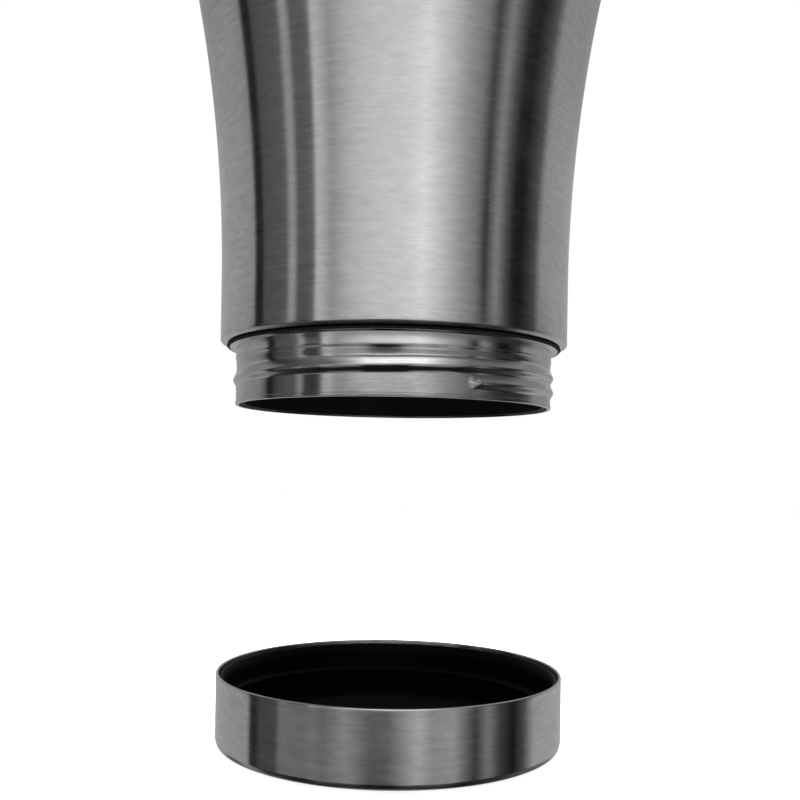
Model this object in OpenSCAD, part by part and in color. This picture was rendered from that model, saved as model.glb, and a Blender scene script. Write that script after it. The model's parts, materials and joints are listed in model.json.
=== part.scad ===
// Water bottle with a hidden compartment in its base, drawn with the base cup
// standing on the floor and the bottle lifted clear above it.
// Right-hand threads join the cup to the neck and the lid to the mouth.

/* [Base cup] */
// Outer radius of the base cup, which the neck and the body follow
cup_r = 36.5; // [34:0.5:40]
// Height of the base cup over the floor
cup_h = 15.2; // [15.2:0.1:20]
// Thickness of the cup's steel
cup_t = 0.6; // [0.4:0.05:0.7]
// Radius of the cup's lower edge
cup_edge_r = 1.4; // [0.8:0.1:2]
// Width of the steel round the rubber foot
foot_margin = 6.5; // [6.3:0.1:16]
// Height that the foot holds the steel off the floor
foot_proud = 0.5; // [0.3:0.05:0.8]
// Depth of the recess that holds the foot
foot_recess = 0.8; // [0.5:0.05:1]
// Thickness of the liner's floor
liner_floor_t = 0.7; // [0.5:0.05:0.9]

/* [Neck and thread] */
// Width from the neck's outside to the cup's outside
neck_set_in = 3.2; // [3.1:0.1:3.9]
// Thickness of the neck's steel
neck_t = 0.6; // [0.5:0.05:0.8]
// Height of the neck under the body's lower edge
neck_h = 12.5; // [11.5:0.1:12.8]
// Rise of the neck's thread in one turn
neck_lead = 3.05; // [2.8:0.05:3.4]
// Height of the rolled bead over the neck
neck_bead_h = 0.9; // [0.5:0.05:0.9]
// Height of the bead's lower end over the rim
neck_bead_start = 2.8; // [2:0.1:3.2]
// Turns of the rolled bead
neck_turns = 1.25; // [0.8:0.05:1.3]

/* [Body] */
// Width that the straight lower body stands out over the cup
body_over = 0.1; // [0:0.1:1]
// Thickness of the body's steel
body_t = 0.6; // [0.4:0.05:0.7]
// Height of the straight stretch over the lower edge
straight_h = 13; // [7:0.5:21]
// Radius of the outward flare
flare_r = 310; // [280:5:400]
// Height at which the flare ends
flare_h = 79; // [61:1:85]
// Radius of the rounded upper body
barrel_r = 110; // [100:1:130]
// Width that the shoulder under the lid stands out over the lid
seat_over = 0.9; // [0.4:0.1:1.9]
// Radius of the turn from the wall to that shoulder
seat_round = 4; // [3.6:0.1:6]
// Distance that the body is lifted over its closed place
lift = 68.5; // [20:0.1:120]

/* [Inside] */
// Depth of the hidden compartment
stash_depth = 72.5; // [50:0.5:76]
// Thickness of the compartment's wall
stash_t = 1.1; // [0.8:0.1:1.6]
// Thickness of the insulating pad
pad_t = 4; // [2:0.5:6]
// Gap between the flask and the body
flask_gap = 2.2; // [1.5:0.1:2.6]
// Thickness of the flask's steel
flask_t = 0.5; // [0.4:0.05:0.8]

/* [Mouth and lid] */
// Outer radius of the lid, which the mouth and the carry loop follow
lid_r = 36.6; // [34:0.2:38]
// Width from the mouth's threaded ring to the lid's outside
mouth_set_in = 5.1; // [5:0.1:6.6]
// Height of the mouth over its seat
mouth_h = 12; // [11:0.5:13]
// Rise of the lid in one turn
lid_lead = 9; // [8.4:0.3:9.6]
// Height of the lid's deck over the seat
lid_h = 18.4; // [18:0.1:20]
// Number of grip flutes round the lid
flutes = 44; // [24:2:48]
// Outer radius of the drinking spout
spout_r = 12.8; // [10:0.1:13]
// Thickness of the spout's wall
spout_t = 2; // [1.5:0.1:2.5]
// Height of the spout over the deck
spout_h = 8.4; // [7:0.1:9]
// Distance from the lid's side to the carry loop
loop_out = 3.4; // [2.9:0.1:4.4]
// Thickness of the carry loop
loop_t = 4; // [3:0.1:4]
// Width of the carry loop
loop_w = 9; // [8:0.2:9]
// Radius of the two loop pins
loop_pin_r = 1.5; // [1.2:0.1:2]
// Radius of the flip cap's hinge pin
cap_pin_r = 1; // [0.8:0.05:1.2]

/* [Hidden] */
$fn = 96;

// Facets of the small round pieces
pin_facets = 32;
head_facets = 48;
flute_facets = 24;

// Clearances that the fits share
snug = 0.1;      // pieces pressed or glued together
running = 0.05;  // pins and rings that turn
seam = 0.2;      // line between the closed cup and the body
clear = 0.3;     // ends that must not meet
overrun = 1;     // length that a cut runs past its face

// Radii that follow the base cup and the lid
foot_r = cup_r - foot_margin;
neck_r = cup_r - neck_set_in;
body_r = cup_r + body_over;
seat_r = lid_r + seat_over;
mouth_r = lid_r - mouth_set_in;
loop_r = lid_r + loop_out;

// Places along the bottle, measured up from the body's lower edge
rim_tuck = 0.5;
closed_edge_z = cup_h + seam - rim_tuck;
lower_edge_z = closed_edge_z + lift;
neck_rim = -neck_h;

// Turned-in lip of the body, the seal under it and the root of the neck
lip_w = 1.8;
lip_angle = 21;
lip_edge_r = 0.3;
seal_t = 0.4;
seal_w = 1.85;
seal_edge = 0.15;
root_w = 1.3;
root_h = 0.9;
root_edge = 0.15;
crease_h = 3.4;
crease_d = 0.15;
rim_bead_h = 0.7;
rim_bead_d = 0.1;
weld_flange_t = 0.5;
weld_flange_w = 2.15;
neck_inside_h = 7;

// Steps of the curves and rings of the threads
arc_steps = 5;
wall_steps = 22;
rings_per_turn = 60;
thread_skin = 0.1;
thread_sink = 0.3;
thread_fade = 15;
thread_end_share = 0.3;
half_pitch_share = 0.5;
bead_half_w = 1.5;
bead_angle = -63;
ridge_h = 0.72;
ridge_half_w = 0.95;
ridge_sweep = 325;
ridge_lag = 18;

// Outline of the rounded bead and of the ridge that hooks over it, as shares
bead_shares = [[0.2, -0.87], [0.64, -0.56], [0.92, -0.26], [1, 0], [0.92, 0.26], [0.64, 0.56], [0.2, 0.87]];
ridge_shares = [[0.75, -0.58], [1, -0.34], [1, 0.34], [0.75, 0.58]];

// Points of an arc about a centre, from one angle to another
function arc(cx, cz, r, from, to, n = arc_steps) =
    [for (i = [0:n]) let (a = from + (to - from) * i / n) [cx + r * cos(a), cz + r * sin(a)]];

function reversed(p) = [for (i = [len(p) - 1:-1:0]) p[i]];

// Angles and centres of the body's outline
flare_angle = asin((flare_h - straight_h) / flare_r);
flare_end_r = body_r + flare_r * (1 - cos(flare_angle));
barrel_cx = flare_end_r - barrel_r * cos(flare_angle);
barrel_cz = flare_h + barrel_r * sin(flare_angle);
seat_angle = acos((seat_r - barrel_cx) / barrel_r);
seat_cx = seat_r - seat_round * cos(seat_angle);
seat_cz = barrel_cz + (barrel_r - seat_round) * sin(seat_angle);
seat_z = seat_cz + seat_round;

// The body's side, set in from the outside by a distance
function side(inset) = concat(
    [[body_r - inset, straight_h]],
    arc(body_r + flare_r, straight_h, flare_r + inset, 180, 180 - flare_angle, wall_steps),
    arc(barrel_cx, barrel_cz, barrel_r - inset, -flare_angle, seat_angle, wall_steps),
    arc(seat_cx, seat_cz, seat_round - inset, seat_angle, 90));

function above(p, z) = [for (q = p) if (q[1] > z) q];

// A helical thread: out is 1 on an outside wall and -1 on an inside one
module thread(shares, wall_r, height, half_w, lead, from, sweep, z, out) {
    n = ceil(rings_per_turn * sweep / 360);
    m = len(shares) + 2;
    function fade(t) = min(1, sweep * t / thread_fade, sweep * (1 - t) / thread_fade);
    function wide(t) = half_w * (thread_end_share + (1 - thread_end_share) * fade(t));
    function at(a, r, h) = [r * cos(a), r * sin(a), h];
    points = [for (i = [0:n])
        let (t = i / n, a = from + sweep * t, f = fade(t), w = wide(t), h = z + lead * sweep * t / 360)
        each concat(
            [at(a, wall_r - out * thread_sink, h - w)],
            [for (s = shares)
                at(a, wall_r + out * ((height * s[0] + thread_skin) * f - thread_skin), h + w * s[1])],
            [at(a, wall_r - out * thread_sink, h + w)])];
    ends = [[for (j = [0:m - 1]) j], [for (j = [m - 1:-1:0]) n * m + j]];
    sides = [for (i = [0:n - 1], j = [0:m - 1]) let (k = (j + 1) % m)
        each [[i * m + j, (i + 1) * m + j, i * m + k], [i * m + k, (i + 1) * m + j, (i + 1) * m + k]]];
    faces = concat(ends, sides);
    polyhedron(points, out < 0 ? faces : [for (f = faces) reversed(f)]);
}

module lifted(z = 0) {
    translate([0, 0, lower_edge_z + z]) children();
}

// Base cup

liner_r = cup_r - cup_t - snug;
liner_drop = 0.8;
liner_rim_z = cup_h - liner_drop;
ring_floor_z = foot_proud + cup_t + snug + liner_floor_t;
thread_wall_r = neck_r + neck_bead_h + clear;
rim_bevel_h = 2;
rim_bevel_w = 0.5;
step_w = 0.8;

module base_shell() {
    edge_z = foot_proud + cup_edge_r;
    edge_x = cup_r - cup_edge_r;
    up = foot_proud + foot_recess;
    step_r = foot_r + clear;
    color([0.72, 0.72, 0.74]) rotate_extrude() polygon(concat(
        [[0, up], [step_r, up], [step_r + step_w, foot_proud]],
        arc(edge_x, edge_z, cup_edge_r, -90, 0),
        arc(cup_r - cup_t / 2, cup_h - cup_t / 2, cup_t / 2, 0, 180),
        arc(edge_x, edge_z, cup_edge_r - cup_t, 0, -90),
        [[step_r + step_w, foot_proud + cup_t], [step_r, up + cup_t], [0, up + cup_t]]));
}

module base_liner() {
    low = foot_proud + cup_t + snug;
    up = low + foot_recess;
    step_r = foot_r + clear;
    color([0.05, 0.05, 0.055]) {
        rotate_extrude() polygon(concat(
            [[0, up], [step_r, up], [step_r + step_w, low]],
            arc(liner_r - cup_edge_r, low + cup_edge_r, cup_edge_r, -90, 0),
            [[liner_r, liner_rim_z - snug], [liner_r - snug, liner_rim_z],
                [thread_wall_r + rim_bevel_w, liner_rim_z], [thread_wall_r, liner_rim_z - rim_bevel_h],
                [thread_wall_r, ring_floor_z], [step_r + step_w, ring_floor_z],
                [step_r, up + liner_floor_t], [0, up + liner_floor_t]]));
        thread(ridge_shares, thread_wall_r, ridge_h, ridge_half_w, neck_lead, bead_angle + ridge_lag,
            ridge_sweep, closed_edge_z + neck_rim + neck_bead_start
                + neck_lead * (half_pitch_share + ridge_lag / 360), -1);
    }
}

module base_foot() {
    foot_edge_share = 0.6;
    foot_edge = foot_proud * foot_edge_share;
    color([0.08, 0.08, 0.08]) rotate_extrude() polygon([[0, 0], [foot_r - foot_edge, 0],
        [foot_r, foot_edge], [foot_r, foot_proud + foot_recess], [0, foot_proud + foot_recess]]);
}

// Bottle

// Radius of the neck over its crease, where the seal sits, and of the lip over it
collar_r = neck_r + crease_d;
lip_r = body_r - lip_w;
lip_inside_z = body_t / cos(lip_angle);

// Height of the lip's slope over its inner edge
function lip_rise(r) = (r - lip_r) * tan(lip_angle);

module neck_seal() {
    seal_r = collar_r + seal_w;
    color([0.07, 0.07, 0.07]) lifted() rotate_extrude() polygon([
        [collar_r + running, -seal_t], [seal_r - seal_edge, -seal_t],
        [seal_r, -seal_t + seal_edge], [seal_r, -running], [lip_r - snug, -running],
        [lip_r - snug, body_t], [collar_r + running, body_t]]);
}

module outer_shell() {
    edge_x = body_r - lip_edge_r;
    inside_x = body_r - body_t;
    color([0.72, 0.72, 0.74]) lifted() rotate_extrude() polygon(concat(
        [[lip_r, 0]],
        arc(edge_x, lip_rise(edge_x) + lip_edge_r / cos(lip_angle), lip_edge_r, lip_angle - 90, 0),
        side(0),
        [[mouth_r, seat_z], [mouth_r, seat_z - body_t]],
        reversed(side(body_t)),
        [[inside_x, lip_rise(inside_x) + lip_inside_z], [lip_r, lip_inside_z]]));
}

module base_neck() {
    root_z = -seal_t - running;
    root_foot = root_z - root_edge - root_h;
    weld_r = collar_r + weld_flange_w;
    weld_z = lip_inside_z + running;
    weld_top = weld_z + lip_rise(weld_r) + weld_flange_t;
    rim_edge = 0.15;
    color([0.7, 0.7, 0.72]) lifted() {
        rotate_extrude() polygon(concat(
            [[neck_r - neck_t, neck_rim], [neck_r + rim_bead_d - rim_edge, neck_rim],
                [neck_r + rim_bead_d, neck_rim + rim_edge], [neck_r + rim_bead_d, neck_rim + rim_bead_h],
                [neck_r, neck_rim + rim_bead_h + rim_bead_d], [neck_r, -crease_h],
                [collar_r, -crease_h + crease_d]],
            [for (i = [0:arc_steps]) let (a = 90 * i / arc_steps)
                [collar_r + root_w * (1 - cos(a)), root_foot + root_h * sin(a)]],
            [[collar_r + root_w, root_z], [collar_r, root_z], [collar_r, weld_z], [lip_r, weld_z],
                [weld_r, weld_z + lip_rise(weld_r)], [weld_r, weld_top], [collar_r, weld_top],
                [collar_r, neck_inside_h], [neck_r - neck_t, neck_inside_h]]));
        thread(bead_shares, neck_r, neck_bead_h, bead_half_w, neck_lead, bead_angle,
            neck_turns * 360, neck_rim + neck_bead_start, 1);
    }
}

// Hidden compartment

stash_r = neck_r - neck_t - snug;
stash_set_back = 0.4;
stash_foot = neck_rim + stash_set_back;
stash_top = stash_foot + stash_depth + stash_t;

module stash_liner() {
    corner = 3;
    color([0.04, 0.04, 0.045]) lifted() rotate_extrude() polygon(concat(
        [[stash_r - stash_t, stash_foot], [stash_r, stash_foot]],
        arc(stash_r - corner, stash_top - corner, corner, 0, 90),
        [[0, stash_top], [0, stash_top - stash_t]],
        reversed(arc(stash_r - corner, stash_top - corner, corner - stash_t, 0, 90))));
}

module insulation_pad() {
    pad_in = 4;
    color([0.85, 0.85, 0.82]) lifted(stash_top) cylinder(r = stash_r - pad_in, h = pad_t);
}

// Drink vessel and mouth

flask_neck_r = mouth_r - neck_t - snug;
flask_floor = stash_top + pad_t;
flask_inset = body_t + flask_gap;
flask_corner_r = 6;
flask_corner_in = 7;
flask_corner_lean = 8;
flask_turn_r = 2;
mouth_top = seat_z + mouth_h;
lip_roll_r = 0.4;

// The flask's side from floor to mouth, set in by a distance
function flask_side(inset) = let (
    wall = above(side(flask_inset + inset), flask_floor + 2 * flask_corner_r),
    edge = wall[0])
    concat(
        [[0, flask_floor + inset]],
        arc(edge[0] - flask_corner_in, flask_floor + flask_corner_r, flask_corner_r - inset,
            -90, -flask_corner_lean),
        wall,
        reversed(arc(flask_neck_r + flask_turn_r, seat_z - flask_inset + flask_turn_r,
            flask_turn_r + inset, 180, 270)));

module inner_flask() {
    over_r = mouth_r + clear;
    roll_z = mouth_top + snug + lip_roll_r;
    color([0.75, 0.75, 0.77]) lifted() rotate_extrude() polygon(concat(
        flask_side(0),
        [[flask_neck_r, mouth_top + snug], [over_r, mouth_top + snug]],
        arc(over_r - lip_roll_r, roll_z, lip_roll_r, 0, 90),
        arc(flask_neck_r - flask_t + lip_roll_r, roll_z, lip_roll_r, 90, 180),
        reversed(flask_side(flask_t))));
}

lid_starts = 3;
mouth_bead_h = 0.8;
mouth_bead_half_w = 1.05;
mouth_bead_start = 4;
mouth_sweep = 140;

module mouth_neck() {
    color([0.7, 0.7, 0.72]) lifted() {
        rotate_extrude() polygon([[mouth_r - neck_t, seat_z - body_t], [mouth_r, seat_z - body_t],
            [mouth_r, mouth_top], [mouth_r - neck_t, mouth_top]]);
        for (i = [0:lid_starts - 1])
            thread(bead_shares, mouth_r, mouth_bead_h, mouth_bead_half_w, lid_lead,
                360 * i / lid_starts, mouth_sweep, seat_z + mouth_bead_start, 1);
    }
}

// Lid

mouth_lip_top = mouth_top + snug + 2 * lip_roll_r;
gasket_t = 1.6;
insert_z = mouth_lip_top + snug + gasket_t + running;
insert_t = 1.4;
plug_r = flask_neck_r - flask_t - clear - snug;
plug_t = 1.2;
plug_h = 6;
lid_bore_gap = 0.7;
lid_bore_r = mouth_r + mouth_bead_h + lid_bore_gap;
lid_ridge_h = 1.1;
lid_ridge_half_w = 0.9;
lid_ridge_lag = 12;
lid_ridge_sweep = 104;
lid_lift = 0.5;
lid_foot = seat_z + lid_lift;
deck_z = seat_z + lid_h;
lid_edge_r = 3;
band_lift = 1.4;
band_z = seat_z + band_lift;
band_h = 2.6;
band_t = 0.7;
spout_bore_r = spout_r - spout_t;

// Inside and outside of the flip cap, and its hinge behind it
cap_gap = 1.2;
cap_in_r = spout_r + cap_gap;
cap_t = 2.6;
cap_out_r = cap_in_r + cap_t;
knuckle_w = 8.8;
knuckle_r = 2.6;
hinge_back = 1.3;
hinge_y = cap_out_r + knuckle_r + hinge_back;
hinge_lift = 3.6;
hinge_z = deck_z + hinge_lift;
ear_w = 3;
ear_r = 2.8;

// Pivot of the carry loop, and the ledge under each end that it rests on
pivot_drop = 4.4;
pivot_z = deck_z - pivot_drop;
pin_sink = 3;
boss_r = 4.2;
boss_sink = 2;
boss_in = lid_r - boss_sink;
boss_out = loop_r - clear;
ledge_angle = 16;
ledge_t = 1.3;
ledge_brace = 2;
ledge_under = 1.6;
ledge_z = pivot_z - loop_w / 2 - snug;

module lid_gasket() {
    gasket_w = 2.8;
    color([0.8, 0.8, 0.8]) lifted(mouth_lip_top + snug) difference() {
        cylinder(r = plug_r + running + gasket_w, h = gasket_t);
        translate([0, 0, -overrun]) cylinder(r = plug_r + running, h = gasket_t + 2 * overrun);
    }
}

module lid_body() {
    rotate_extrude() polygon(concat(
        [[lid_bore_r, lid_foot], [lid_r - snug, lid_foot], [lid_r - snug, band_z],
            [lid_r - band_t, band_z], [lid_r - band_t, band_z + band_h], [lid_r, band_z + band_h]],
        arc(lid_r - lid_edge_r, deck_z - lid_edge_r, lid_edge_r, 0, 90),
        [[spout_r + snug, deck_z], [spout_r + snug, insert_z + insert_t + running],
            [lid_bore_r, insert_z + insert_t + running]]));
    for (i = [0:lid_starts - 1])
        thread(ridge_shares, lid_bore_r, lid_ridge_h, lid_ridge_half_w, lid_lead,
            360 * i / lid_starts + lid_ridge_lag, lid_ridge_sweep, seat_z + mouth_bead_start
                + lid_lead * (lid_ridge_lag / 360 - half_pitch_share / lid_starts), -1);
    // Hinge ears
    for (s = [-1, 1]) translate([s * (knuckle_w / 2 + clear + ear_w / 2), hinge_y, 0]) {
        translate([0, 0, hinge_z]) rotate([0, 90, 0]) cylinder(r = ear_r, h = ear_w, center = true);
        translate([-ear_w / 2, -ear_r, deck_z - snug]) cube([ear_w, 2 * ear_r, hinge_z - deck_z + snug]);
    }
    // Pivot bosses and ledges
    for (s = [0, 1]) mirror([s, 0, 0]) {
        translate([boss_in, 0, pivot_z]) rotate([0, 90, 0]) cylinder(r = boss_r, h = boss_out - boss_in);
        rotate([0, 0, -ledge_angle]) rotate_extrude(angle = 2 * ledge_angle) polygon([
            [boss_in, ledge_z], [loop_r + ledge_under, ledge_z],
            [loop_r + ledge_under, ledge_z - ledge_t], [boss_in, ledge_z - ledge_t - ledge_brace]]);
    }
}

module lid_shell() {
    flute_r = 1.3;
    flute_d = 0.6;
    flute_foot = 1.6;
    flute_head = 0.6;
    flute_z = band_z + band_h + flute_foot;
    flute_top = deck_z - lid_edge_r - flute_head;
    flute_clear_share = 0.955;
    color([0.06, 0.06, 0.065]) lifted() difference() {
        lid_body();
        for (i = [0:flutes - 1]) let (a = 360 * (i + 0.5) / flutes)
            if (abs(cos(a)) < flute_clear_share)
                rotate([0, 0, a]) translate([lid_r + flute_r - flute_d, 0, flute_z])
                    cylinder(r = flute_r, h = flute_top - flute_z, $fn = flute_facets);
        translate([0, 0, pivot_z]) rotate([0, 90, 0])
            for (s = [0, 1]) mirror([0, 0, s]) translate([0, 0, lid_r - pin_sink])
                cylinder(r = loop_pin_r, h = boss_out, $fn = pin_facets);
        translate([0, hinge_y, hinge_z]) rotate([0, 90, 0])
            cylinder(r = cap_pin_r, h = knuckle_w + 4 * ear_w, center = true, $fn = pin_facets);
    }
}

module lid_band() {
    color([0.72, 0.72, 0.74]) lifted(band_z) difference() {
        cylinder(r = lid_r + snug, h = band_h);
        translate([0, 0, -overrun]) cylinder(r = lid_r - band_t, h = band_h + 2 * overrun);
    }
}

module lid_insert() {
    color([0.12, 0.12, 0.125]) lifted() rotate_extrude() polygon([
        [spout_r + snug, insert_z], [plug_r - plug_t, insert_z], [plug_r - plug_t, insert_z - plug_h],
        [plug_r, insert_z - plug_h], [plug_r, insert_z], [lid_bore_r - snug, insert_z],
        [lid_bore_r - snug, insert_z + insert_t], [spout_r + snug, insert_z + insert_t]]);
}

spout_top = deck_z + spout_h;

module drinking_spout() {
    flange_w = 3;
    flange_r = spout_r + flange_w;
    flange_t = 1.2;
    bead_r = 0.4;
    color([0.3, 0.3, 0.31]) lifted() rotate_extrude() polygon(concat(
        [[spout_bore_r, insert_z - flange_t], [flange_r, insert_z - flange_t], [flange_r, insert_z],
            [spout_r, insert_z], [spout_r, spout_top - spout_t - bead_r],
            [spout_r + bead_r, spout_top - spout_t]],
        arc(spout_r + bead_r - spout_t / 2, spout_top - spout_t / 2, spout_t / 2, 0, 90),
        arc(spout_bore_r + spout_t / 2, spout_top - spout_t / 2, spout_t / 2, 90, 180)));
}

// Flip cap

cap_lift = 0.4;
cap_foot = deck_z + cap_lift;
seal_z = spout_top + snug;
cap_seal_t = 1.9;
cap_roof_t = 1.7;
cap_top = seal_z + cap_seal_t + running + cap_roof_t;
plate_t = 0.6;
plate_inset = 4.4;
plate_r = cap_out_r - plate_inset;

module flip_cap() {
    cap_edge_r = 2.6;
    tab_r = 5;
    tab_t = 2.2;
    bridge_h = 3.4;
    color([0.06, 0.06, 0.065]) lifted() difference() {
        union() {
            rotate_extrude() polygon(concat([[0, cap_foot], [cap_out_r, cap_foot]],
                arc(cap_out_r - cap_edge_r, cap_top - cap_edge_r, cap_edge_r, 0, 90), [[0, cap_top]]));
            translate([0, -cap_out_r, cap_foot]) cylinder(r = tab_r, h = tab_t);
            translate([0, hinge_y, hinge_z]) rotate([0, 90, 0])
                cylinder(r = knuckle_r, h = knuckle_w, center = true);
            translate([-knuckle_w / 2, cap_in_r + snug, hinge_z - bridge_h / 2])
                cube([knuckle_w, hinge_y - cap_in_r - snug, bridge_h]);
        }
        translate([0, 0, cap_foot - overrun])
            cylinder(r = cap_in_r, h = seal_z + cap_seal_t + running - cap_foot + overrun);
        translate([0, 0, cap_top - plate_t]) cylinder(r = plate_r, h = plate_t + overrun);
        translate([0, hinge_y, hinge_z]) rotate([0, 90, 0])
            cylinder(r = cap_pin_r + running, h = knuckle_w + 2 * overrun, center = true, $fn = pin_facets);
    }
}

module cap_plate() {
    color([0.74, 0.74, 0.76]) lifted(cap_top - plate_t) cylinder(r = plate_r - running, h = plate_t);
}

module cap_seal() {
    color([0.8, 0.8, 0.8]) lifted(seal_z) cylinder(r = cap_in_r - snug, h = cap_seal_t);
}

module cap_pin() {
    color([0.7, 0.7, 0.72]) lifted() translate([0, hinge_y, hinge_z]) rotate([0, 90, 0])
        cylinder(r = cap_pin_r, h = knuckle_w + 2 * clear + 2 * ear_w, center = true, $fn = pin_facets);
}

// Carry loop

eye_r = loop_w / 2;

module loop_pins() {
    head_w = 1.1;
    head_r = loop_pin_r + head_w;
    head_t = 0.9;
    head_x = loop_r + loop_t + snug;
    foot_x = lid_r - pin_sink;
    color([0.7, 0.7, 0.72]) lifted(pivot_z) for (s = [0, 1]) mirror([s, 0, 0])
        rotate([0, 90, 0]) {
            translate([0, 0, foot_x]) cylinder(r = loop_pin_r, h = head_x - foot_x, $fn = pin_facets);
            translate([0, 0, head_x]) cylinder(r = head_r, h = head_t, $fn = head_facets);
        }
}

module carry_loop() {
    color([0.06, 0.06, 0.065]) lifted(pivot_z) difference() {
        union() {
            rotate_extrude(angle = 180)
                translate([loop_r, -loop_w / 2]) square([loop_t, loop_w]);
            for (s = [0, 1]) mirror([s, 0, 0]) translate([loop_r, 0, 0]) rotate([0, 90, 0])
                cylinder(r = eye_r, h = loop_t);
        }
        rotate([0, 90, 0]) cylinder(r = loop_pin_r + running, h = 2 * (loop_r + loop_t + overrun),
            center = true, $fn = pin_facets);
    }
}

base_shell();
base_liner();
base_foot();
neck_seal();
outer_shell();
base_neck();
stash_liner();
insulation_pad();
inner_flask();
mouth_neck();
lid_gasket();
lid_shell();
lid_band();
lid_insert();
drinking_spout();
flip_cap();
cap_plate();
cap_seal();
cap_pin();
loop_pins();
carry_loop();
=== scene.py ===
import json
import math

import bmesh
import bpy
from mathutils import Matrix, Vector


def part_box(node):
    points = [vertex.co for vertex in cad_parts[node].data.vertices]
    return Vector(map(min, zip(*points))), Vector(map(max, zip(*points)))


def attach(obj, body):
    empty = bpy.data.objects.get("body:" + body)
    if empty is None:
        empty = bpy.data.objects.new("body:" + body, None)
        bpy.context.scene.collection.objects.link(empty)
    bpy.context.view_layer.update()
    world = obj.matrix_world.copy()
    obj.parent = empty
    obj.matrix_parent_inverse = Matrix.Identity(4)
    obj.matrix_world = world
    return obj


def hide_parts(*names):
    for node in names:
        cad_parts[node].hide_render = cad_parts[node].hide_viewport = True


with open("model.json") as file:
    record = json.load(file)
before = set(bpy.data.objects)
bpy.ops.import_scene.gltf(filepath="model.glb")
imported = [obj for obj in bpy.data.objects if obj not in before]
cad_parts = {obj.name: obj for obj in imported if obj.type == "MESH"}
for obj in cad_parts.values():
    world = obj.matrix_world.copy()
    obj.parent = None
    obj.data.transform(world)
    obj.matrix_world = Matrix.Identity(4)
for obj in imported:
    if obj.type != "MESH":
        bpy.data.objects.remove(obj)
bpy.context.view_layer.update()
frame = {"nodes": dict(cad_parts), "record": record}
scene = bpy.context.scene
mm = 0.001

# camera, looking level along +Y past the bottle's axis
cameraSpec = {
    "distance": 208.2,
    "eyeHeight": 56.7,
    "lens": 43.65,
    "sensor": 36,
    "nearest": 10,
    "shift": (0.0104, 0.0938),
    "roll": -0.93,
}
cameraData = bpy.data.cameras.new("photoView")
cameraData.lens = cameraSpec["lens"]
cameraData.sensor_width = cameraSpec["sensor"]
cameraData.shift_x, cameraData.shift_y = cameraSpec["shift"]
cameraData.clip_start = cameraSpec["nearest"] * mm
camera = bpy.data.objects.new("photoView", cameraData)
scene.collection.objects.link(camera)
camera.location = (0, -cameraSpec["distance"] * mm, cameraSpec["eyeHeight"] * mm)
camera.rotation_euler = (math.radians(90), math.radians(cameraSpec["roll"]), 0)
scene.camera = camera
scene.view_settings.view_transform = "Standard"
print("camera placed")


class Wire:
    # one output socket of a shader tree; sums and products on it add Math nodes
    def __init__(self, tree, socket=None):
        self.tree = tree
        self.socket = socket

    def add(self, kind, settings=None, values=None, out=0):
        node = self.tree.nodes.new("ShaderNode" + kind)
        for name, value in (settings or {}).items():
            if name == "stops":
                ramp = node.color_ramp.elements
                for spare in range(len(value) - 2):
                    ramp.new(0.5)
                for stop, (place, level) in zip(ramp, value):
                    stop.position = place
                    stop.color = (level, level, level, 1)
            else:
                setattr(node, name, value)
        for name, value in (values or {}).items():
            if isinstance(value, Wire):
                self.tree.links.new(value.socket, node.inputs[name])
            else:
                node.inputs[name].default_value = value
        return Wire(self.tree, node.outputs[out] if node.outputs else None)

    def maths(self, operation, first, second=0.0):
        return self.add("Math", {"operation": operation}, {0: first, 1: second})

    def __add__(self, other):
        return self.maths("ADD", self, other)

    def __radd__(self, other):
        return self.maths("ADD", other, self)

    def __sub__(self, other):
        return self.maths("SUBTRACT", self, other)

    def __rsub__(self, other):
        return self.maths("SUBTRACT", other, self)

    def __mul__(self, other):
        return self.maths("MULTIPLY", self, other)

    def __rmul__(self, other):
        return self.maths("MULTIPLY", other, self)

    def __truediv__(self, other):
        return self.maths("DIVIDE", self, other)

    def __pow__(self, other):
        return self.maths("POWER", self, other)


def newFinish(name):
    material = bpy.data.materials.new(name)
    material.use_nodes = True
    material.node_tree.nodes.clear()
    return material, Wire(material.node_tree)


def closeFinish(tree, values):
    tree.add("OutputMaterial", None, {"Surface": tree.add("BsdfPrincipled", None, values)})


def split(vector):
    # the three parts of a vector
    parts = vector.add("SeparateXYZ", None, {"Vector": vector}).socket.node.outputs
    return [Wire(vector.tree, parts[axis]) for axis in "XYZ"]


def stretchedNoise(tree, across, along, detail=2.0, rough=0.5, shift=0.0, centre=None):
    # noise with its own cell counts per metre round the bottle and up it;
    # with a centre the count up it also runs outwards, so the streaks of a flat disc are rings
    place = tree.add("TexCoord", out="Object")
    if centre:
        place = tree.add("VectorMath", {"operation": "SUBTRACT"}, {0: place, 1: centre})
        x, y, z = split(place)
        outward = (x * x + y * y) ** 0.5
        place = tree.add("CombineXYZ", None, {"X": x, "Y": y, "Z": z + outward})
    place = tree.add("VectorMath", {"operation": "MULTIPLY"}, {0: place, 1: (across, across, along)})
    if shift:
        place = tree.add("VectorMath", {"operation": "ADD"}, {0: place, 1: (shift, shift, shift)})
    return tree.add("TexNoise", None, {"Vector": place, "Scale": 1.0, "Detail": detail, "Roughness": rough})


def between(noise, low, high):
    # spreads the middle of a noise over 0 to 1
    return noise.add("MapRange", None, {"Value": noise, "From Min": low, "From Max": high})


def greyTone(level, tint=(1.0, 1.0, 1.0)):
    # colour from a grey level
    red, green, blue = tint
    return level.add("CombineColor", None, {"Red": level * red, "Green": level * green, "Blue": level * blue})


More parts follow.
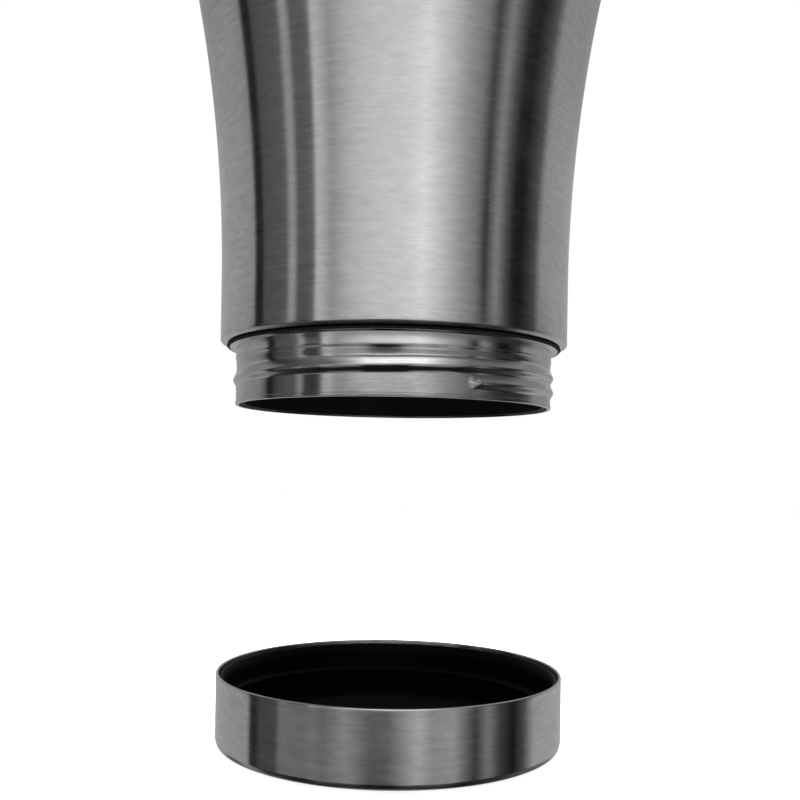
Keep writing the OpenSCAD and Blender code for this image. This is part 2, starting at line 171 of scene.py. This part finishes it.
# brushed, rolled, satin and spun steel share one recipe; flecks are cell counts round the bottle and up it
steelSpecs = {
    "brushedSteel": {
        "tone": 0.60, "toneSwing": 0.22, "rough": 0.15, "roughSwing": 0.03, "streaks": 3400, "sweep": 26,
        "anisotropy": 0.90, "bump": 0.05, "clouds": 0.06, "flecks": (300, 900),
    },
    "rolledSteel": {
        "tone": 0.57, "toneSwing": 0.16, "rough": 0.13, "roughSwing": 0.03, "streaks": 2600, "sweep": 30,
        "anisotropy": 0.80, "bump": 0.03, "clouds": 0.05, "flecks": (300, 900),
    },
    "satinSteel": {
        "tone": 0.62, "toneSwing": 0.05, "rough": 0.30, "roughSwing": 0.06, "streaks": 1800, "sweep": 60,
        "anisotropy": 0.40, "bump": 0.04, "clouds": 0.04, "flecks": (300, 700),
    },
    "spunPlate": {
        "tone": 0.60, "toneSwing": 0.20, "rough": 0.20, "roughSwing": 0.05, "streaks": 3000, "sweep": 20,
        "anisotropy": 0.85, "bump": 0.12, "clouds": 0.02, "flecks": (60, 1500),
        "centre": tuple((low + high) / 2 for low, high in zip(*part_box("cap_plate"))),
    },
}
steelRecipe = {
    "axis": (0, 0, 0),
    "fine": {"detail": 3.0, "rough": 0.62},
    "flecks": {"detail": 3.0, "rough": 0.6, "shift": 7.3},
    "streakSpread": (0.3, 0.7),
    "fineShare": 0.4,
    "clouds": {"across": 55, "along": 90, "detail": 3.0, "rough": 0.55, "shift": 3.1},
    "cloudSpread": (0.35, 0.65),
    "cloudRough": 0.6,
    "bumpDepth": 0.05,
    "tint": (1.0, 1.0, 1.005),
    "quarterTurn": 0.25,
}


def steel(name):
    spec, recipe = steelSpecs[name], steelRecipe
    material, tree = newFinish(name)
    centre = spec.get("centre", recipe["axis"])
    fine = stretchedNoise(tree, spec["sweep"], spec["streaks"], **recipe["fine"], centre=centre)
    flecks = stretchedNoise(tree, *spec["flecks"], **recipe["flecks"], centre=centre)
    streak = (between(fine, *recipe["streakSpread"]) * recipe["fineShare"]
              + between(flecks, *recipe["streakSpread"]) * (1 - recipe["fineShare"]))
    cloud = (between(stretchedNoise(tree, **recipe["clouds"]), *recipe["cloudSpread"]) - 0.5) * spec["clouds"]
    tone = spec["tone"] + (streak - 0.5) * spec["toneSwing"] + cloud
    rough = spec["rough"] + (streak - 0.5) * spec["roughSwing"] + cloud * recipe["cloudRough"]
    normal = tree.add("Bump", None, {
        "Strength": spec["bump"], "Distance": recipe["bumpDepth"] * mm, "Height": streak})
    closeFinish(tree, {
        "Base Color": greyTone(tone, recipe["tint"]),
        "Metallic": 1.0,
        "Roughness": rough,
        "Anisotropic": spec["anisotropy"],
        "Anisotropic Rotation": recipe["quarterTurn"],
        "Normal": normal,
    })
    return material


plasticSpecs = {
    "linerPlastic": {
        "tone": 0.003, "swing": 0.001, "rough": 0.48, "grain": 2600, "bump": 0.12, "gloss": 0.06,
    },
    "lidPlastic": {
        "tone": 0.014, "swing": 0.004, "rough": 0.33, "grain": 3600, "bump": 0.20, "gloss": 0.55,
    },
    "greyPlastic": {
        "tone": 0.16, "swing": 0.02, "rough": 0.36, "grain": 2400, "bump": 0.08, "gloss": 0.45,
    },
    "blackRubber": {
        "tone": 0.005, "swing": 0.002, "rough": 0.66, "grain": 1800, "bump": 0.20, "gloss": 0.10,
    },
    "paleSilicone": {
        "tone": 0.66, "swing": 0.03, "rough": 0.48, "grain": 900, "bump": 0.05, "gloss": 0.40,
    },
}
plasticRecipe = {
    "grain": {"detail": 2.0, "rough": 0.6},
    "slow": {"across": 70, "along": 70, "detail": 3.0, "rough": 0.55, "shift": 5.7},
    "slowSpread": (0.35, 0.65),
    "slowRough": 0.10,
    "grainRough": 0.08,
    "bumpDepth": 0.04,
    "tint": (1.0, 1.0, 1.02),
}


def plastic(name):
    # moulded or rubbery surface with a fine even grain and slow changes of tone and gloss
    spec, recipe = plasticSpecs[name], plasticRecipe
    material, tree = newFinish(name)
    grain = stretchedNoise(tree, spec["grain"], spec["grain"], **recipe["grain"])
    slow = between(stretchedNoise(tree, **recipe["slow"]), *recipe["slowSpread"])
    tone = spec["tone"] + (slow - 0.5) * spec["swing"] + (grain - 0.5) * spec["swing"]
    rough = spec["rough"] + (slow - 0.5) * recipe["slowRough"] + (grain - 0.5) * recipe["grainRough"]
    normal = tree.add("Bump", None, {
        "Strength": spec["bump"], "Distance": recipe["bumpDepth"] * mm, "Height": grain})
    closeFinish(tree, {
        "Base Color": greyTone(tone, recipe["tint"]),
        "Roughness": rough,
        "Specular IOR Level": spec["gloss"],
        "Normal": normal,
    })
    return material


foamSpec = {"tone": 0.72, "pitShadeTone": 0.432, "rough": 0.85, "roughSwing": 0.1, "gloss": 0.2, "cells": 900,
            "cellDepth": 0.5, "bumpDepth": 0.3, "pits": (0.1, 0.6), "tint": (1.0, 1.0, 0.97)}


def foam():
    # open cells; their pits are darker in colour, a painted shade in the hollows
    spec = foamSpec
    material, tree = newFinish("paleFoam")
    place = tree.add("TexCoord", out="Object")
    cells = tree.add("TexVoronoi", None, {"Vector": place, "Scale": spec["cells"]}, out="Distance")
    pits = between(cells, *spec["pits"])
    normal = tree.add("Bump", None, {
        "Strength": spec["cellDepth"], "Distance": spec["bumpDepth"] * mm, "Height": pits})
    # the base colour darkens with the pits' depth: painted shade in the cells' hollows
    closeFinish(tree, {
        "Base Color": greyTone(spec["pitShadeTone"] + pits * (spec["tone"] - spec["pitShadeTone"]), spec["tint"]),
        "Roughness": spec["rough"] + pits * spec["roughSwing"],
        "Specular IOR Level": spec["gloss"],
        "Normal": normal,
    })
    return material


finishes = {name: steel(name) for name in steelSpecs}
finishes.update({name: plastic(name) for name in plasticSpecs})
finishes["paleFoam"] = foam()
slotFinishes = {
    "brushed_steel": "brushedSteel",
    "rolled_steel": "rolledSteel",
    "satin_steel": "satinSteel",
    "black_liner": "linerPlastic",
    "lid_plastic": "lidPlastic",
    "grey_plastic": "greyPlastic",
    "black_rubber": "blackRubber",
    "pale_silicone": "paleSilicone",
    "pale_foam": "paleFoam",
}
# pieces whose finish isn't their slot's
nodeFinishes = {"cap_plate": "spunPlate"}
nodeSlots = {part["node"]: part["material_slot"] for part in frame["record"]["subparts"]}
for node, piece in frame["nodes"].items():
    piece.data.materials.clear()
    piece.data.materials.append(finishes[nodeFinishes.get(node, slotFinishes[nodeSlots[node]])])
print("finishes made")

# studio that the steel mirrors: rings of grey levels by azimuth, 0 behind the camera and the right positive,
# and how high, as the sine of the elevation, each ring takes over from what lies below it
studioSpec = {
    "high": [(-180, 0.5), (-120, 0.35), (-100, 0.14), (-62, 0.18), (-45, 0.6), (-30, 1.2), (-15, 1.8),
             (30, 1.8), (50, 0.8), (72, 0.3), (90, 0.3), (115, 0.4), (180, 0.5)],
    "body": [(-180, 0.42), (-101, 0.42), (-99.5, 0.015), (-93, 0.015), (-91, 0.12), (-72, 0.14), (-69, 0.5),
             (-65.5, 0.5), (-63.5, 0.14), (-52, 0.16), (-50, 0.88), (-40, 0.42), (-28, 0.83), (-13, 1.1),
             (5, 1.26), (17, 1.5), (27, 1.1), (41, 0.55), (51, 0.3), (57.5, 0.02), (59, 0.07), (66, 0.4),
             (73, 0.12), (79, 0.01), (86, 0.0), (92, 0.03), (100, 0.1), (107, 0.43), (180, 0.42)],
    "neck": [(-180, 0.4), (-141, 0.39), (-110, 0.3), (-103, 0.14), (-100, 0.015), (-95, 0.015), (-93, 0.06),
             (-83, 0.1), (-72.5, 0.14), (-69.5, 0.32), (-67, 0.32), (-65, 0.03), (-55.5, 0.02), (-52.5, 0.1),
             (-49, 0.52), (-45, 0.6), (-40, 0.44), (-34, 0.42), (-16, 0.5), (0, 0.5), (13, 0.48), (24, 0.4),
             (37, 0.27), (50, 0.24), (59, 0.18), (69, 0.08), (80, 0.05), (88, 0.05), (99, 0.03), (108, 0.06),
             (120, 0.32), (180, 0.4)],
    "cup": [(-180, 0.42), (-100.5, 0.42), (-98.5, 0.02), (-92.5, 0.03), (-89, 0.09), (-75, 0.09),
            (-72.5, 0.25), (-50, 0.24), (-41, 0.17), (-26, 0.35), (-10, 0.13), (0, 0.15), (10, 0.36),
            (19, 0.62), (28, 0.36), (42, 0.46), (50, 0.2), (57, 0.04), (66, 0.3), (75, 0.07), (87, 0.004),
            (97, 0.1), (108, 0.5), (180, 0.42)],
    "low": [(-180, 0.45), (-150, 0.4), (-135, 0.12), (-126, 0.12), (-118, 0.3), (-108, 0.3), (-98, 0.04),
            (-58, 0.02), (-48, 0.2), (-22, 0.2), (-14, 0.015), (4, 0.015), (12, 0.2), (40, 0.26), (52, 0.03),
            (90, 0.04), (110, 0.12), (140, 0.2), (160, 0.45), (180, 0.45)],
    "under": [(-180, 0.4), (-150, 0.3), (-135, 0.1), (-126, 0.1), (-118, 0.3), (-108, 0.25), (-100, 0.1),
              (-92, 0.03), (-66, 0.008), (66, 0.008), (92, 0.05), (110, 0.08), (140, 0.12), (160, 0.4),
              (180, 0.4)],
    "dim": [(-180, 0.35), (-115, 0.3), (-100, 0.05), (-90, 0.05), (-70, 0.17), (-45, 0.3), (-30, 0.32),
            (-15, 0.2), (0, 0.16), (12, 0.2), (30, 0.25), (50, 0.15), (70, 0.1), (90, 0.12), (115, 0.3),
            (180, 0.35)],
    "zenith": 1.1,
    "nadir": 0.25,
    "backdrop": 1.0,
    "blends": [("under", -0.97, -0.93), ("low", -0.72, -0.62), ("cup", -0.45, -0.3), ("neck", -0.2, 0.05),
               ("body", 0.10, 0.16), ("dim", 0.26, 0.34), ("high", 0.5, 0.85), ("zenith", 0.93, 0.99)],
}


def studioLight():
    world = bpy.data.worlds.new("studio")
    scene.world = world
    world.use_nodes = True
    world.node_tree.nodes.clear()
    tree = Wire(world.node_tree)
    across, ahead, up = split(tree.add("TexCoord", out="Generated"))
    azimuth = tree.maths("ARCTAN2", across, 0 - ahead) / (2 * math.pi) + 0.5

    def grey(level):
        return (level, level, level, 1)

    def ring(levels):
        stops = [(angle / 360 + 0.5, level) for angle, level in levels]
        return tree.add("ValToRGB", {"stops": stops}, {"Fac": azimuth})

    # a Mix node's colours are its inputs 6 and 7 and its output 2
    walls = grey(studioSpec["nadir"])
    for name, low, high in studioSpec["blends"]:
        rise = tree.add("MapRange", {"interpolation_type": "SMOOTHSTEP"},
                        {"Value": up, "From Min": low, "From Max": high})
        above = grey(studioSpec[name]) if name == "zenith" else ring(studioSpec[name])
        walls = tree.add("Mix", {"data_type": "RGBA"}, {0: rise, 6: walls, 7: above}, out=2)
    mirrored = tree.add("Background", None, {"Color": walls, "Strength": 1.0})
    plain = tree.add("Background", None, {"Color": grey(studioSpec["backdrop"]), "Strength": 1.0})
    seen = tree.add("LightPath", out="Is Camera Ray")
    tree.add("OutputWorld", None, {"Surface": tree.add("MixShader", None, {0: seen, 1: mirrored, 2: plain})})


studioLight()

lampSpec = {"height": 900, "size": 700, "watts": 14.0}
lampData = bpy.data.lights.new("overheadLamp", "AREA")
lampData.shape = "DISK"
lampData.size = lampSpec["size"] * mm
lampData.energy = lampSpec["watts"]
lamp = bpy.data.objects.new("overheadLamp", lampData)
scene.collection.objects.link(lamp)
lamp.location = (0, 0, lampSpec["height"] * mm)
lamp.visible_glossy = False

# the floor fades out between two distances from the axis
floorSpec = {"radius": 1600, "corners": 96, "fadeFrom": 250, "fadeTo": 1300, "tone": 0.97, "grain": 400,
             "grainSwing": 0.01, "rough": 0.9, "gloss": 0.1, "glow": 0.85, "below": 0.03}


def paleFloor():
    mesh = bpy.data.meshes.new("paleFloor")
    shape = bmesh.new()
    bmesh.ops.create_circle(shape, cap_ends=True, radius=floorSpec["radius"] * mm,
                            segments=floorSpec["corners"])
    shape.to_mesh(mesh)
    shape.free()
    floor = bpy.data.objects.new("paleFloor", mesh)
    scene.collection.objects.link(floor)
    material, tree = newFinish("paleFloor")
    place = tree.add("TexCoord", out="Object")
    reach = tree.add("VectorMath", {"operation": "LENGTH"}, {0: place}, out="Value")
    solid = tree.add("MapRange", {"interpolation_type": "SMOOTHSTEP"},
                     {"Value": reach, "From Min": floorSpec["fadeFrom"] * mm,
                      "From Max": floorSpec["fadeTo"] * mm, "To Min": 1.0, "To Max": 0.0})
    grain = stretchedNoise(tree, floorSpec["grain"], floorSpec["grain"])
    closeFinish(tree, {
        "Base Color": greyTone(floorSpec["tone"] + (grain - 0.5) * floorSpec["grainSwing"]),
        "Roughness": floorSpec["rough"],
        "Specular IOR Level": floorSpec["gloss"],
        "Emission Color": (1, 1, 1, 1),
        "Emission Strength": floorSpec["glow"],
        "Alpha": solid,
    })
    mesh.materials.append(material)
    floor.location.z = -floorSpec["below"] * mm
    floor.visible_glossy = False


paleFloor()
print("studio lit")


def arc(centreR, centreZ, radius, start, end, steps):
    # points of an arc in the outline's plane, angles in degrees
    turns = [math.radians(start + (end - start) * i / steps) for i in range(steps + 1)]
    return [(centreR + radius * math.cos(t), centreZ + radius * math.sin(t)) for t in turns]


def line(first, last, steps):
    # evenly spaced points from one point to another
    return [(first[0] + (last[0] - first[0]) * i / steps, first[1] + (last[1] - first[1]) * i / steps)
            for i in range(steps + 1)]


# the two smallest lengths are in mm
latheSpec = {"turns": 288, "nearest": 1e-5, "onAxis": 1e-6, "sharpOver": 32}


def lathe(name, outline, body, slotName, replaced, lift=0.0, turns=latheSpec["turns"], push=None):
    # spins a closed outline, radius and height in mm, round the axis; push moves its points in or out
    mesh = bpy.data.meshes.new(name)
    shape = bmesh.new()
    clean = [p for i, p in enumerate(outline) if math.dist(p, outline[i - 1]) > latheSpec["nearest"]]
    rings = []
    for radius, height in clean:
        if radius < latheSpec["onAxis"]:
            rings.append([shape.verts.new((0, 0, (height + lift) * mm))])
            continue
        ring = []
        for i in range(turns):
            angle = 2 * math.pi * i / turns
            pushed = radius + (push(math.degrees(angle), radius, height) if push else 0)
            ring.append(shape.verts.new((pushed * math.cos(angle) * mm, pushed * math.sin(angle) * mm,
                                         (height + lift) * mm)))
        rings.append(ring)
    for low, high in zip(rings, rings[1:] + rings[:1]):
        for i in range(turns):
            j = (i + 1) % turns
            corners = [low[i % len(low)], low[j % len(low)], high[j % len(high)], high[i % len(high)]]
            unique = list(dict.fromkeys(corners))
            if len(unique) > 2:
                shape.faces.new(unique)
    bmesh.ops.recalc_face_normals(shape, faces=shape.faces)
    for face in shape.faces:
        face.smooth = True
    for edge in shape.edges:
        if len(edge.link_faces) == 2 and edge.calc_face_angle(0) > math.radians(latheSpec["sharpOver"]):
            edge.smooth = False
    shape.to_mesh(mesh)
    shape.free()
    mesh.materials.append(finishes[slotFinishes[slotName]])
    piece = bpy.data.objects.new(name, mesh)
    scene.collection.objects.link(piece)
    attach(piece, body)
    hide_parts(replaced)


# a thread's bead has a hollow slope over its rounded crest and half a wave under it
beadSpec = {"crestRound": 0.1, "slopeEnd": 0.99, "slopePower": 2}


def helixBump(start, sweep, lead, base, widthUp, widthDown, height, fade):
    # height of a rolled thread over its wall, by angle in degrees and height in mm
    def side(offset):
        if offset <= 0:
            return math.cos(offset / widthDown * math.pi / 2) ** beadSpec["slopePower"]
        if offset >= beadSpec["slopeEnd"] * widthUp:
            return 0
        left = 1 - math.hypot(offset / widthUp, beadSpec["crestRound"])
        return (left / (1 - beadSpec["crestRound"])) ** beadSpec["slopePower"]

    def bump(angle, z):
        total = 0.0
        travelled = (angle - start) % 360
        while travelled <= sweep:
            offset = z - base - lead * travelled / 360
            if -widthDown < offset < widthUp:
                end = min(1, travelled / fade, (sweep - travelled) / fade)
                total = max(total, height * math.sin(end * math.pi / 2) * side(offset))
            travelled += 360
        return total
    return bump


# all lengths of the pieces are in mm and all angles in degrees
bottleSpec = {"lowerEdge": 83.4, "bodyR": 36.6, "wall": 0.6, "straight": 13, "flareR": 310, "flareTop": 79,
              "barrelR": 110, "seatR": 37.5, "seatRound": 4, "mouthR": 31.5, "lipWidth": 1.8, "lipAngle": 21,
              "lipEdge": 0.3, "lipRise": 0.1, "edgeTop": 1.4, "skin": 0.006, "outsideSteps": 64,
              "insideSteps": 32, "seatSteps": 14}


def bodySide(inset, steps):
    # outline of the body's side, set in from the outside, and the height of its top
    s = bottleSpec
    flare = math.degrees(math.asin((s["flareTop"] - s["straight"]) / s["flareR"]))
    flareEnd = s["bodyR"] + s["flareR"] * (1 - math.cos(math.radians(flare)))
    barrelX = flareEnd - s["barrelR"] * math.cos(math.radians(flare))
    barrelZ = s["flareTop"] + s["barrelR"] * math.sin(math.radians(flare))
    seat = math.degrees(math.acos((s["seatR"] - barrelX) / s["barrelR"]))
    seatX = s["seatR"] - s["seatRound"] * math.cos(math.radians(seat))
    seatZ = barrelZ + (s["barrelR"] - s["seatRound"]) * math.sin(math.radians(seat))
    side = [(s["bodyR"] - inset, s["straight"])]
    side += arc(s["bodyR"] + s["flareR"], s["straight"], s["flareR"] + inset, 180, 180 - flare, steps)
    side += arc(barrelX, barrelZ, s["barrelR"] - inset, -flare, seat, steps)
    side += arc(seatX, seatZ, s["seatRound"] - inset, seat, 90, s["seatSteps"])
    return side, seatZ + s["seatRound"]


def outerShell():
    s = bottleSpec
    slope = math.radians(s["lipAngle"])
    lipR = s["bodyR"] - s["lipWidth"]
    edge = s["bodyR"] - s["lipEdge"]
    insideR = s["bodyR"] - s["wall"]
    lipTop = s["wall"] / math.cos(slope)
    outside, top = bodySide(s["skin"], s["outsideSteps"])
    inside = bodySide(s["wall"], s["insideSteps"])[0]
    outline = [(lipR, s["lipRise"]), (lipR + s["lipRise"], s["lipRise"] * math.tan(slope))]
    outline += arc(edge, (edge - lipR) * math.tan(slope) + s["lipEdge"] / math.cos(slope), s["lipEdge"],
                   s["lipAngle"] - 90, 0, steps=8)
    outline += line((s["bodyR"], s["edgeTop"]), (s["bodyR"], s["straight"]), steps=8) + outside
    outline += [(s["mouthR"], top), (s["mouthR"], top - s["wall"])] + inside[::-1]
    outline += [(insideR, (insideR - lipR) * math.tan(slope) + lipTop), (lipR, lipTop)]
    lathe("brushedBody", outline, "bottle", "brushed_steel", "outer_shell", s["lowerEdge"])


# a wave runs all round and has its height, spread and depth, with a minus for a swell; a dent has its
# angle, upper end, width, spread and depth; the flange that sits in the body has its corners; these heights
# are from the body's lower edge, and beadStart is from the neck's rim
neckSpec = {"r": 33.3, "wall": 0.6, "depth": 12.5, "lead": 3.05, "beadHeight": 0.61, "beadUp": 2.1,
            "beadDown": 1.5, "beadStart": 2.95, "turns": 1.25, "startAngle": -65, "fade": 5,
            "creaseDepth": 0.08, "creaseAt": 3.4, "creaseTall": 0.3, "sealFoot": 0.45, "rootW": 1.3,
            "rootH": 1.23, "rootStep": 0.035, "rootCone": 1.0, "rootRound": 0.08, "rootTurn": (175, 110),
            "rootEdge": 0.04, "rimBead": 0.1, "rimBeadHeight": 0.7, "rimRound": 0.12, "insideTop": 7,
            "coneSteps": 8, "around": 360,
            "waves": [(-2.9, 0.6, -0.03), (-3.45, 0.3, 0.03), (-4.95, 1.1, 0.09)],
            "dents": [(-92.7, -3.4, 5.5, 0.75, 0.3), (-56, -3.4, 8, 0.6, 0.1)],
            "flange": [(34.8, 0.7), (35.6, 1.0), (35.6, 1.5)]}
# an outline's point is on a wall when it is this near to it
onWall = 0.01


def rolledNeck():
    s = neckSpec
    rim = -s["depth"]
    collar = s["r"] + s["creaseDepth"]
    rootFoot = -s["sealFoot"] - s["rootEdge"] - s["rootH"]
    thread = helixBump(s["startAngle"], s["turns"] * 360, s["lead"], rim + s["beadStart"], s["beadUp"],
                       s["beadDown"], s["beadHeight"], s["fade"])

    def push(angle, radius, z):
        if radius < s["r"] - onWall or z > rootFoot:
            return 0
        total = thread(angle, z)
        total -= sum(depth * math.exp(-((z - at) / tall) ** 2) for at, tall, depth in s["waves"])
        for at, height, width, tall, depth in s["dents"]:
            if z < height:
                aside = ((angle - at + 180) % 360 - 180) / width
                total -= depth * math.exp(-aside ** 2) * (1 - math.exp((z - height) / tall))
        return total

    rimR, rimTop = s["r"] + s["rimBead"], rim + s["rimBeadHeight"]
    inside, flange = s["r"] - s["wall"], s["flange"]
    outline = [(inside, rim)]
    outline += arc(rimR - s["rimRound"], rim + s["rimRound"], s["rimRound"], -90, 0, steps=4)
    outline += [(rimR, rimTop)]
    outline += line((s["r"], rimTop + s["rimBead"]), (s["r"], -s["creaseAt"]), steps=96)
    outline += line((collar, -s["creaseAt"] + s["creaseTall"]), (collar, rootFoot), steps=14)
    cone = [i / s["coneSteps"] for i in range(s["coneSteps"] + 1)]
    outline += [(collar + s["rootStep"] * share ** 2, rootFoot + s["rootCone"] * share) for share in cone]
    outline += arc(collar + s["rootStep"] + s["rootRound"], rootFoot + s["rootCone"], s["rootRound"],
                   *s["rootTurn"], steps=6)
    outline += [(collar + s["rootW"], rootFoot + s["rootH"]), (collar + s["rootW"], -s["sealFoot"])]
    outline += [(collar, -s["sealFoot"]), (collar, flange[0][1]), *flange, (collar, flange[-1][1])]
    outline += [(collar, s["insideTop"]), (inside, s["insideTop"])]
    lathe("rolledNeck", outline, "bottle", "rolled_steel", "base_neck", bottleSpec["lowerEdge"],
          s["around"], push)


cupSpec = {"r": 36.5, "height": 15.2, "wall": 0.6, "edgeR": 1.4, "footR": 30, "footProud": 0.5,
           "footGap": 0.3, "recess": 0.8, "step": 0.8, "heelInset": 0.95, "heelRound": 0.8, "heelSlope": 16,
           "heelTop": 1.8, "heelEnd": 14, "heelEndRound": 0.6, "sideFoot": 3, "rimDrop": 0.8}


def raisedFloor(low, up):
    # outline of the recess over the rubber foot, from the middle outwards
    foot = cupSpec["footR"] + cupSpec["footGap"]
    return [(0, up), (foot, up), (foot + cupSpec["step"], low)]


def baseCup():
    s = cupSpec
    low, up = s["footProud"], s["footProud"] + s["recess"]
    edgeR, edgeZ = s["r"] - s["edgeR"], s["footProud"] + s["edgeR"]
    heelR, rimR = s["r"] - s["heelInset"], s["wall"] / 2
    outline = raisedFloor(low, up)
    outline += arc(heelR, low + s["heelRound"], s["heelRound"], -90, -s["heelSlope"], steps=10)
    outline += arc(s["r"] - s["heelEndRound"], s["heelTop"], s["heelEndRound"], -s["heelEnd"], 0, steps=4)
    outline += line((s["r"], s["sideFoot"]), (s["r"], s["height"] - s["rimDrop"]), steps=6)
    outline += arc(s["r"] - rimR, s["height"] - rimR, rimR, 0, 180, steps=12)
    outline += arc(edgeR, edgeZ, s["edgeR"] - s["wall"], 0, -90, steps=6)
    outline += raisedFloor(low + s["wall"], up + s["wall"])[::-1]
    lathe("brushedCup", outline, "base_cup", "brushed_steel", "base_shell")


# the ridge lies half a turn's height over the neck's bead when the cup is closed
linerSpec = {"gap": 0.1, "floor": 0.7, "drop": 0.8, "wallR": 34.5, "closedEdge": 14.9, "ridgeHeight": 0.72,
             "ridgeHalfWidth": 0.95, "ridgeSweep": 325, "ridgeLag": 18, "ridgeFade": 12, "bevelHeight": 2.0,
             "bevelWidth": 0.5, "bevelTurn": (90, 150), "rimRound": 0.2, "floorRound": 0.8}


def cupLiner():
    s, c, n = linerSpec, cupSpec, neckSpec
    low = c["footProud"] + c["wall"] + s["gap"]
    up = low + c["recess"]
    outsideR = c["r"] - c["wall"] - s["gap"]
    wallR, rimRound, floorRound = s["wallR"], s["rimRound"], s["floorRound"]
    rimZ = c["height"] - s["drop"]
    floorZ = low + s["floor"]
    ridgeStart = s["closedEdge"] - n["depth"] + n["beadStart"] + n["lead"] * (0.5 + s["ridgeLag"] / 360)
    ridge = helixBump(n["startAngle"] + s["ridgeLag"], s["ridgeSweep"], n["lead"], ridgeStart,
                      s["ridgeHalfWidth"], s["ridgeHalfWidth"], s["ridgeHeight"], s["ridgeFade"])

    def push(angle, radius, z):
        return -ridge(angle, z) if abs(radius - wallR) < onWall else 0

    outline = raisedFloor(low, up)
    outline += arc(outsideR - c["edgeR"], low + c["edgeR"], c["edgeR"], -90, 0, steps=6)
    outline += arc(outsideR - rimRound, rimZ - rimRound, rimRound, 0, 90, steps=5)
    outline += arc(wallR + s["bevelWidth"] + rimRound, rimZ - rimRound, rimRound, *s["bevelTurn"], steps=4)
    outline += line((wallR, rimZ - s["bevelHeight"]), (wallR, floorZ + floorRound), steps=60)
    outline += arc(wallR - floorRound, floorZ + floorRound, floorRound, 0, -90, steps=6)
    outline += raisedFloor(floorZ, up + s["floor"])[::-1]
    lathe("cupLiner", outline, "base_cup", "black_liner", "base_liner", push=push)


outerShell()
rolledNeck()
baseCup()
cupLiner()
print("steel and liner turned")
